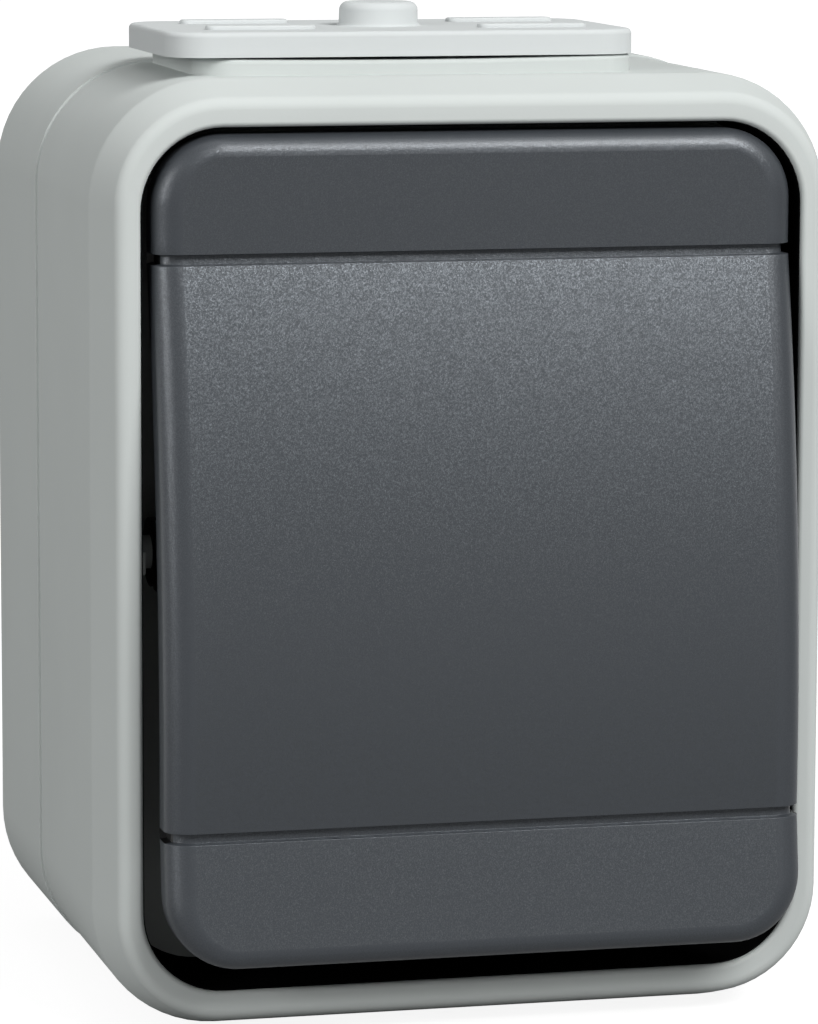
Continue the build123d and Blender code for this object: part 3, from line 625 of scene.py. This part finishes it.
base = seat(front=False)
back_rim = round_over(lambda inset, drop: outline(base, inset, drop), BACK_ROUND, BACK_STEPS)
front_edge = outline(base, PARTING_INSET, PARTING_DEPTH)
step_in = outline(base, PARTING_INSET + GASKET_LIP, PARTING_DEPTH)
step_low = outline(base, PARTING_INSET + GASKET_LIP, PARTING_DEPTH - GASKET_HEIGHT)
inner_top = outline(base, PARTING_INSET + WALL, PARTING_DEPTH - GASKET_HEIGHT)
inner_floor = outline(base, WALL, WALL)
wall(base, *reversed(back_rim), front_edge, step_in, step_low, inner_top, inner_floor)
holes_back, holes_front = [], []
for z in (-WALL_HOLE_Z, WALL_HOLE_Z):
    holes_back.append(ring(base, WALL_HOLE_RADIUS, facing(0, 0, z)))
    holes_front.append(ring(base, WALL_HOLE_RADIUS, facing(WALL, 0, z)))
    wall(base, holes_back[-1], holes_front[-1])
feet = [post(base, x, z, WALL, POST_DEPTH) for x, z in INSERT_POSTS]
feet += [post(base, x, z, WALL, PARTING_DEPTH) for x, z in COVER_SCREWS]
plug(base, back_rim[-1], *holes_back)
plug(base, inner_floor, *holes_front, *feet)
soften(base, front_edge, JOINT_ROUND, JOINT_STEPS)
finish_piece(base, "base_shell", "housing", "base_box", housing_abs)

# %% [markdown]
# ## The cover
# The front half runs from the joint to the rim: a nearly straight side, a soft crease, a short taper and
# a rounded rim round the window. Inside the window lies a floor with the opening for the switch and two
# screw holes. The chain of loops goes once round the wall's section, from the joint outside to the joint
# inside, so the wall is closed without any boolean. The rim's outer arc meets the taper smoothly, and a
# smaller arc leads into the window.

# %% Cover shell
CREASE_ROUND = 0.4
CREASE_STEPS = 3
RIM_ROUND = 1.2
WINDOW_ROUND = 0.45
RIM_STEPS = 6
SCREW_HOLE = 1.75

cover = seat(front=True)
seat_faces = set(cover.faces)
joint_out = outline(cover, COVER_INSET, PARTING_DEPTH)
crease = outline(cover, EDGE_INSET, EDGE_DEPTH)
taper = atan2(RIM_INSET - EDGE_INSET, RIM_DEPTH - EDGE_DEPTH)
rim_centre = RIM_INSET + RIM_ROUND * tan((pi / 2 - taper) / 2)
rim = []
for i in range(RIM_STEPS + 1):
    turn = taper + (pi / 2 - taper) * i / RIM_STEPS
    rim.append(outline(cover, rim_centre - RIM_ROUND * cos(turn), RIM_DEPTH - RIM_ROUND * (1 - sin(turn))))
lip = []
for i in range(RIM_STEPS + 1):
    turn = pi / 2 * i / RIM_STEPS
    grow = WINDOW_ROUND * (1 - sin(turn))
    lip.append(rounded_loop(cover, WINDOW[0] + 2 * grow, WINDOW[1] + 2 * grow, WINDOW[2] + grow,
                            facing(RIM_DEPTH - WINDOW_ROUND * (1 - cos(turn)))))
window_foot = rounded_loop(cover, *WINDOW, facing(FLOOR_FRONT))
opening_front = rounded_loop(cover, *OPENING, facing(FLOOR_FRONT))
opening_back = rounded_loop(cover, *OPENING, facing(FLOOR_BACK))
inside_front = outline(cover, EDGE_INSET + WALL, FLOOR_BACK)
inside_back = outline(cover, COVER_INSET + WALL, PARTING_DEPTH)
wall(cover, inside_front, inside_back, joint_out, crease, *rim, *lip, window_foot)
wall(cover, opening_front, opening_back)
holes_front, feet = [], []
for x, z in COVER_SCREWS:
    holes_front.append(ring(cover, SCREW_HOLE, facing(FLOOR_FRONT, x, z)))
    feet.append(ring(cover, POST_RADIUS, facing(FLOOR_BACK, x, z)))
    end = ring(cover, POST_RADIUS, facing(PARTING_DEPTH, x, z))
    mouth = ring(cover, SCREW_HOLE, facing(PARTING_DEPTH, x, z))
    wall(cover, feet[-1], end, mouth, holes_front[-1])
plug(cover, window_foot, opening_front, *holes_front)
plug(cover, inside_front, opening_back, *feet)
soften(cover, joint_out, JOINT_ROUND, JOINT_STEPS)
soften(cover, crease, CREASE_ROUND, CREASE_STEPS)
print("Cover shell has", len(cover.faces), "faces")

# %% [markdown]
# The neck of the entry plate passes through the roof under the seat. Four cuts outline the hole on the
# roof's outside and inside, the two patches go, and their borders are bridged. Then the ribs and pins
# that carry the rocker are set into the window's side walls.

# %% Neck hole, pivot pins and ribs
PIVOT_SETBACK = 9.0
PIVOT_DEPTH = RIM_DEPTH - PIVOT_SETBACK
PIN_RADIUS = 1.45
PIN_END = 25.0
RIB_PROUD = 0.75
RIB_HEIGHT = 2.0
RIB_SETBACK = 2.4
RIB_ROUND = 0.15
RIB_STEPS = 2
SUNK = 0.2
LEVEL = 0.98


def cut_out(bm, faces, x_low, x_high, near, far):
    """Cuts a rectangle out of roof faces and gives its border."""
    planes = [((x_low, 0, 0), (1, 0, 0)), ((x_high, 0, 0), (1, 0, 0)),
              ((0, -near, 0), (0, 1, 0)), ((0, -far, 0), (0, 1, 0))]
    for point, normal in planes:
        parts = set(faces)
        for face in faces:
            parts.update(face.edges, face.verts)
        done = bmesh.ops.bisect_plane(bm, geom=list(parts), plane_co=Vector(point) * MM, plane_no=normal)
        faces = [part for part in done["geom"] if isinstance(part, bmesh.types.BMFace)]
    patch = []
    for face in faces:
        centre = face.calc_center_median() / MM
        if x_low < centre.x < x_high and near < -centre.y < far:
            patch.append(face)
    inside = set(patch)
    border = [edge for edge in {edge for face in patch for edge in face.edges}
              if len(inside.intersection(edge.link_faces)) == 1]
    bmesh.ops.delete(bm, geom=patch, context="FACES_ONLY")
    return border


def block(bm, low, high):
    """Closed block between two corners, and its edges."""
    middle = Matrix.Translation((low + high) / 2 * MM)
    size = Matrix.Diagonal(((high - low) * MM).to_4d())
    verts = bmesh.ops.create_cube(bm, size=1.0, matrix=middle @ size)["verts"]
    return list({edge for vert in verts for edge in vert.link_edges})


cover.normal_update()
roofs = {"outside": [], "inside": []}
for face in cover.faces:
    centre = face.calc_center_median() / MM
    level = abs(face.normal.z) > LEVEL and face not in seat_faces
    on_roof = PARTING_DEPTH < -centre.y < EDGE_DEPTH and centre.z > WALL_TOP - WALL - 1
    if level and on_roof:
        outside = centre.z > WALL_TOP - WALL / 2
        roofs["outside" if outside else "inside"].append(face)
half_x = NECK[0] / 2 + NECK_PLAY
half_depth = NECK[1] / 2 + NECK_PLAY
hole = (PLATE_X - half_x, PLATE_X + half_x, NECK_DEPTH - half_depth, NECK_DEPTH + half_depth)
borders = [cut_out(cover, faces, *hole) for faces in roofs.values()]
wall(cover, *borders)
for side in (-1, 1):
    edge_x = side * WINDOW[0] / 2
    ends = sorted((edge_x + side * SUNK, edge_x - side * RIB_PROUD))
    rib = block(cover, Vector((ends[0], -(RIM_DEPTH - RIB_SETBACK), -RIB_HEIGHT / 2)),
                Vector((ends[1], -FLOOR_FRONT + SUNK, RIB_HEIGHT / 2)))
    soften(cover, rib, RIB_ROUND, RIB_STEPS)
    pin = [ring(cover, PIN_RADIUS, sideways(x, PIVOT_DEPTH, 0))
           for x in (edge_x + side * SUNK, side * PIN_END)]
    wall(cover, *pin)
    plug(cover, pin[0])
    plug(cover, pin[1])
finish_piece(cover, "cover_shell", "housing", "front_cover", housing_abs)

# %% [markdown]
# The window is drawn black inside: a thin band of black rubber lines its walls and ends just behind the
# rounded rim. It is painted shade, standing for the shadow deep in the gap round the rocker. The band is one
# closed loop.

# %% Painted shade lining
SHADE_LINING = 0.12
SHADE_LINING_SUNK = 0.05
SHADE_LINING_FRONT = RIM_DEPTH - 0.6


def shade_lining_loop(inset, depth):
    """Window outline, set in by an inset, at a depth."""
    width, height, corner = WINDOW
    return rounded_loop(shade_lining, width - 2 * inset, height - 2 * inset, corner - inset, facing(depth))


# A black band put where the gap is only in shadow: painted shade
shade_lining = bmesh.new()
band = [shade_lining_loop(inset, depth) for inset, depth in (
    (-SHADE_LINING_SUNK, SHADE_LINING_FRONT), (SHADE_LINING, SHADE_LINING_FRONT), (SHADE_LINING, FLOOR_FRONT), (-SHADE_LINING_SUNK, FLOOR_FRONT))]
wall(shade_lining, *band, band[0])
finish_piece(shade_lining, "painted_shade_lining", "housing", None, seal_rubber_and_painted_shade)

# %% [markdown]
# ## The entry plate
# A soft plate closes the cable entry. It lies on the seat and touches it only at its ends, which leaves a
# thin dark gap below it. A small round boss in its middle is cut off for a cable. It grows out of the
# plate with a soft flare. Two plain low ribs on either side of the boss give a grip.

# %% Entry plate
PLATE_THICKNESS = 2.05
PLATE_TOP = base_high.z + PLATE_THICKNESS
PLATE_MIDDLE = (PLATE_FRONT + PLATE_BACK) / 2
PLATE_ROUND = 0.45
PLATE_STEPS = 5
BOSS_RADIUS = 3.45
BOSS_ROUND = 0.75
BOSS_STEPS = 6
BOSS_FLARE = ((0.35, -0.1), (0.3, 0.02), (0.12, 0.1), (0.03, 0.3))
NECK_LIP = 0.8
NECK_SUNK = 0.6
LIP_TOP = WALL_TOP - EDGE_INSET - WALL
PAD = (9.6, 2.0, 0.7)
PAD_HEIGHT = 0.35
PAD_ROUND = 0.2
PAD_STEPS = 4
PAD_X = (-11.8, 12.4)
PAD_DEPTHS = (5.6, -5.6)

plate = bmesh.new()


def plate_section(inset, drop):
    """Section of the plate, set in from its outline, below its top."""
    return rounded_loop(plate, PLATE_WIDTH - 2 * inset, PLATE_FRONT - PLATE_BACK - 2 * inset,
                        PLATE_CORNER - inset, lying(PLATE_TOP - drop, PLATE_X, PLATE_MIDDLE))


under = plate_section(0, PLATE_TOP - SEAT_TOP)
top = round_over(plate_section, PLATE_ROUND, PLATE_STEPS)
wall(plate, under, *top)
plug(plate, under)
plug(plate, top[-1])
print("Plate slab has", len(plate.faces), "faces")

# %% Boss, pads and neck


def boss_section(inset, drop):
    """Circle of the boss, set in by an inset, below its top."""
    return ring(plate, BOSS_RADIUS - inset, lying(plate_high.z - drop, PLATE_X, PLATE_MIDDLE))


def pad(x, depth):
    """Low rib with rounded edges on the plate."""
    def section(inset, drop):
        """Outline of the rib, set in by an inset, below its top."""
        return rounded_loop(plate, PAD[0] - 2 * inset, PAD[1] - 2 * inset, PAD[2] - inset,
                            lying(PLATE_TOP + PAD_HEIGHT - drop, PLATE_X + x, PLATE_MIDDLE + depth))

    head = round_over(section, PAD_ROUND, PAD_STEPS)
    foot = section(0, PAD_HEIGHT + SUNK)
    wall(plate, foot, *head)
    plug(plate, foot)
    plug(plate, head[-1])


flare = [ring(plate, BOSS_RADIUS + out, lying(PLATE_TOP + up, PLATE_X, PLATE_MIDDLE)) for out, up in BOSS_FLARE]
crown = round_over(boss_section, BOSS_ROUND, BOSS_STEPS)
wall(plate, *flare, *crown)
plug(plate, flare[0])
plug(plate, crown[-1])
for x in PAD_X:
    for depth in PAD_DEPTHS:
        pad(x, depth)
neck_lip = tuple(size + 2 * NECK_LIP for size in NECK[:2]) + (NECK[2] + NECK_LIP,)
chain = [rounded_loop(plate, *size, lying(z, PLATE_X, NECK_DEPTH)) for size, z in (
    (NECK, PLATE_TOP - NECK_SUNK), (NECK, LIP_TOP), (neck_lip, LIP_TOP), (neck_lip, plate_low.z))]
wall(plate, *chain)
plug(plate, chain[0])
plug(plate, chain[-1])
finish_piece(plate, "entry_plate", "housing", "cable_entry_plate", entry_tpe)

# %% [markdown]
# ## The rocker
# Seen from the side, the rocker's face is flat above the top groove, crowns forward below it, and leans out
# again below the bottom groove. Seen from the front it is a plain rounded rectangle. So it is made flat
# first, as a closed cap with a lip and a skirt, then cut across many times and bent: every point moves
# forward by the rise of the side view at its height.

# %% Rocker cap
ROCKER_WIDTH = rocker_high.x - rocker_low.x
ROCKER_TOP = rocker_high.z
ROCKER_BOTTOM = rocker_low.z
ROCKER_MIDDLE = (ROCKER_TOP + ROCKER_BOTTOM) / 2
ROCKER_CORNER = 6.1
ROCKER_ROUND = 1.8
ROCKER_SIDE_ROUND = 2.4
ROCKER_STEPS = 8
ROCKER_LIP = 3.6
ROCKER_SKIN = 2.2
SKIRT_INSET = 1.3
SKIRT_WALL = 1.5
SKIRT_DEPTH = 9.0
TOP_BAND = 10.45
BOTTOM_BAND = 11.3
GROOVE_TOP_Z = ROCKER_TOP - TOP_BAND
GROOVE_BOTTOM_Z = ROCKER_BOTTOM + BOTTOM_BAND
TOP_RISE = 0.75
CROWN_RISE = 4.65
LOWER_RISE = 5.42
BOTTOM_RISE = 6.9
BEND_STEP = 1.2
EDGE_GRAIN = 0.5
STIFFENER_X = 10.0
STIFFENER = 1.4
STIFFENER_DEPTH = 6.0


def rise(z):
    """How far the rocker's front stands before the rim at a height."""
    if z >= GROOVE_TOP_Z:
        return TOP_RISE
    if z < GROOVE_BOTTOM_Z:
        share = (GROOVE_BOTTOM_Z - z) / (GROOVE_BOTTOM_Z - ROCKER_BOTTOM)
        return LOWER_RISE + share * (BOTTOM_RISE - LOWER_RISE)
    share = (GROOVE_TOP_Z - z) / (GROOVE_TOP_Z - GROOVE_BOTTOM_Z)
    crown = CROWN_RISE - (TOP_RISE + LOWER_RISE) / 2
    return TOP_RISE + share * (LOWER_RISE - TOP_RISE) + 4 * crown * share * (1 - share)


def rocker_loop(inset, shift):
    """Rocker outline, set in by an inset and moved back by a shift."""
    return rounded_loop(rocker, ROCKER_WIDTH - 2 * inset, ROCKER_TOP - ROCKER_BOTTOM - 2 * inset,
                        ROCKER_CORNER - inset, facing(RIM_DEPTH - shift, 0, ROCKER_MIDDLE))


def edge_loop(inset, drop):
    """Loop of the rocker's rounded front edge, which is wider at the sides than at the top and bottom."""
    side = inset * ROCKER_SIDE_ROUND / ROCKER_ROUND
    return rounded_loop(rocker, ROCKER_WIDTH - 2 * side, ROCKER_TOP - ROCKER_BOTTOM - 2 * inset,
                        ROCKER_CORNER - (inset + side) / 2, facing(RIM_DEPTH - drop, 0, ROCKER_MIDDLE))


rocker = bmesh.new()
grain = rocker.faces.layers.float.new("grain")
unshaded = rocker.faces.layers.float.new("unshaded")
inner = SKIRT_INSET + SKIRT_WALL
edge = round_over(edge_loop, ROCKER_ROUND, ROCKER_STEPS)
chain = [rocker_loop(inset, shift) for inset, shift in (
    (0, ROCKER_LIP), (SKIRT_INSET, ROCKER_LIP), (SKIRT_INSET, SKIRT_DEPTH), (inner, SKIRT_DEPTH),
    (inner, ROCKER_SKIN))]
for face in bmesh.ops.edgeloop_fill(rocker, edges=edge[-1])["faces"]:
    face[grain] = 1.0
    face[unshaded] = 1.0
for face in wall(rocker, chain[0], *edge):
    face[grain] = EDGE_GRAIN
    face[unshaded] = 1.0
# The lip's back, the skirt and the inside are left at nought and drawn near black: painted shade for the dark
# gap
wall(rocker, *chain)
bmesh.ops.edgeloop_fill(rocker, edges=chain[-1])
for x in (-STIFFENER_X, STIFFENER_X):
    block(rocker, Vector((x - STIFFENER / 2, -RIM_DEPTH + ROCKER_SKIN - SUNK, ROCKER_BOTTOM + inner - SUNK)),
          Vector((x + STIFFENER / 2, -RIM_DEPTH + STIFFENER_DEPTH, ROCKER_TOP - inner + SUNK)))
z = ROCKER_BOTTOM + BEND_STEP
while z < ROCKER_TOP:
    bmesh.ops.bisect_plane(rocker, geom=all_of(rocker), plane_co=(0, 0, z * MM), plane_no=(0, 0, 1))
    z += BEND_STEP
print("Rocker cap has", len(rocker.faces), "faces")

# %% [markdown]
# Two grooves cross the face and run down its sides. Each is marked out by two cuts, and the band of faces
# between them, only those on the outside, is inset and pushed in. The grooves' rims and floors get a small
# radius, which is what catches the light along them. Faces near the front keep the rocker's colour, and the
# deeper faces of the grooves are drawn near black, which is painted shade. The mesh is bent last.

# %% Grooves and bend
GROOVE = 0.95
GROOVE_DEPTH = 0.6
GROOVE_DRAFT = 0.1
GROOVE_ROUND = 0.25
GROOVE_STEPS = 5
PAINTED_SHADE_DEPTH = 1.4
RIM_DEGREES = 40
SIDE = ROCKER_WIDTH / 2 - 0.05


def groove(bm, groove_z):
    """Sinks a channel into the outside of the cap at a height."""
    for z in (groove_z - GROOVE / 2, groove_z + GROOVE / 2):
        bmesh.ops.bisect_plane(bm, geom=all_of(bm), plane_co=(0, 0, z * MM), plane_no=(0, 0, 1))
    bm.normal_update()
    band = []
    for face in bm.faces:
        centre = face.calc_center_median() / MM
        outside = face.normal.y < -0.1 or abs(centre.x) > SIDE
        if abs(centre.z - groove_z) < GROOVE / 2 and outside:
            band.append(face)
    bmesh.ops.inset_region(bm, faces=band, thickness=GROOVE_DRAFT * MM, depth=-GROOVE_DEPTH * MM,
                           use_boundary=True, use_even_offset=True)
    return len(band)


bmesh.ops.recalc_face_normals(rocker, faces=rocker.faces)
print("Groove faces:", groove(rocker, GROOVE_TOP_Z), groove(rocker, GROOVE_BOTTOM_Z))
rims = []
for edge in rocker.edges:
    centre = (edge.verts[0].co + edge.verts[1].co) / 2 / MM
    near = min(abs(centre.z - GROOVE_TOP_Z), abs(centre.z - GROOVE_BOTTOM_Z))
    at_groove = near < GROOVE / 2 + TOLERANCE and edge.calc_face_angle(0) > radians(RIM_DEGREES)
    behind = RIM_DEPTH + centre.y
    on_cap = behind < ROCKER_LIP - TOLERANCE and abs(centre.x) < SIDE + 1
    if at_groove and on_cap and (behind < 1 or abs(centre.x) > SIDE - 1):
        rims.append(edge)
soften(rocker, rims, GROOVE_ROUND, GROOVE_STEPS)
# Faces near the front keep the rocker's grey; the deeper groove faces are drawn near black as painted shade
for face in rocker.faces:
    centre = face.calc_center_median() / MM
    near = min(abs(centre.z - GROOVE_TOP_Z), abs(centre.z - GROOVE_BOTTOM_Z))
    behind = RIM_DEPTH + centre.y
    if behind < PAINTED_SHADE_DEPTH:
        face[unshaded] = 1.0
        face[grain] = max(face[grain], EDGE_GRAIN)
    elif near < GROOVE / 2:
        face[unshaded] = 0.0
        face[grain] = 0.0
for vert in rocker.verts:
    vert.co.y -= rise(vert.co.z / MM) * MM
print("Rounded groove edges:", len(rims))

# %% [markdown]
# On its back the rocker has two ears with bores for the cover's pins, and a finger with a round tip that
# pushes the plunger. They are closed bodies of their own, sunk a little into the skirt and the face, which
# is enough for what is hidden behind it.

# %% Ears and finger
EAR_RADIUS = 3.0
EAR_BORE = 1.5
FINGER_Z = -12.0
FINGER_RADIUS = 2.2
FINGER_REACH = 4.0
FINGER_ROOT = RIM_DEPTH + 3.0
ear_front = RIM_DEPTH + CROWN_RISE - ROCKER_LIP + SUNK
for side in (-1, 1):
    outer_x = side * (ROCKER_WIDTH / 2 - SKIRT_INSET)
    inner_x = outer_x - side * SKIRT_WALL
    loops = [ring(rocker, radius, sideways(x, PIVOT_DEPTH, 0)) for radius, x in (
        (EAR_RADIUS, outer_x), (EAR_RADIUS, inner_x), (EAR_BORE, inner_x), (EAR_BORE, outer_x))]
    wall(rocker, *loops, loops[0])
    low_x, high_x = sorted((outer_x, inner_x))
    block(rocker, Vector((low_x, -ear_front, -EAR_RADIUS)),
          Vector((high_x, -PIVOT_DEPTH - EAR_BORE - SUNK, EAR_RADIUS)))
ball_depth = PIVOT_DEPTH - FINGER_REACH + FINGER_RADIUS
stem = [ring(rocker, FINGER_RADIUS, facing(depth, 0, FINGER_Z)) for depth in (FINGER_ROOT, ball_depth)]
wall(rocker, *stem)
plug(rocker, stem[0])
plug(rocker, stem[1])
bmesh.ops.create_uvsphere(rocker, u_segments=ROUND_STEPS, v_segments=ROUND_STEPS // 2,
                          radius=FINGER_RADIUS * MM, matrix=facing(ball_depth, 0, FINGER_Z))
finish_piece(rocker, "rocker_plate", "rocker", "rocker", fleck)

# %% [markdown]
# ## Return spring
# The coil sits between the insert's floor and the plunger's foot. Left rigid, it would cut into the plunger
# when the button is pressed. It is made by spinning the wire's section round the axis while it climbs,
# which a modifier could do as well, and it gets a mesh of its own.

# %% Return spring
COIL_WIRE = 0.3
COIL_FLATS = 12
COIL_TURNS = 5
TURN_STEPS = 24
coil_low, coil_high = (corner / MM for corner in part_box("return_spring"))
coil_seat = Vector((0, coil_high.y, (coil_low.z + coil_high.z) / 2))
coil_length = coil_high.y - coil_low.y
coil_radius = (coil_high.x - coil_low.x) / 2 - COIL_WIRE
coil_steps = COIL_TURNS * TURN_STEPS
climb = (coil_length - 2 * COIL_WIRE) / coil_steps
coil = bmesh.new()
bmesh.ops.create_circle(coil, cap_ends=False, segments=COIL_FLATS, radius=COIL_WIRE * MM,
                        matrix=Matrix.Translation((coil_seat + Vector((coil_radius, -COIL_WIRE, 0))) * MM))
bmesh.ops.spin(coil, geom=coil.verts[:] + coil.edges[:], cent=coil_seat * MM, axis=(0, -1, 0),
               dvec=(0, -climb * MM, 0), angle=2 * pi * COIL_TURNS, steps=coil_steps)
bmesh.ops.holes_fill(coil, edges=[edge for edge in coil.edges if edge.is_boundary], sides=COIL_FLATS)
coil_piece = finish_piece(coil, "return_coil", "housing", "return_spring", steel)
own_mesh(coil_piece)
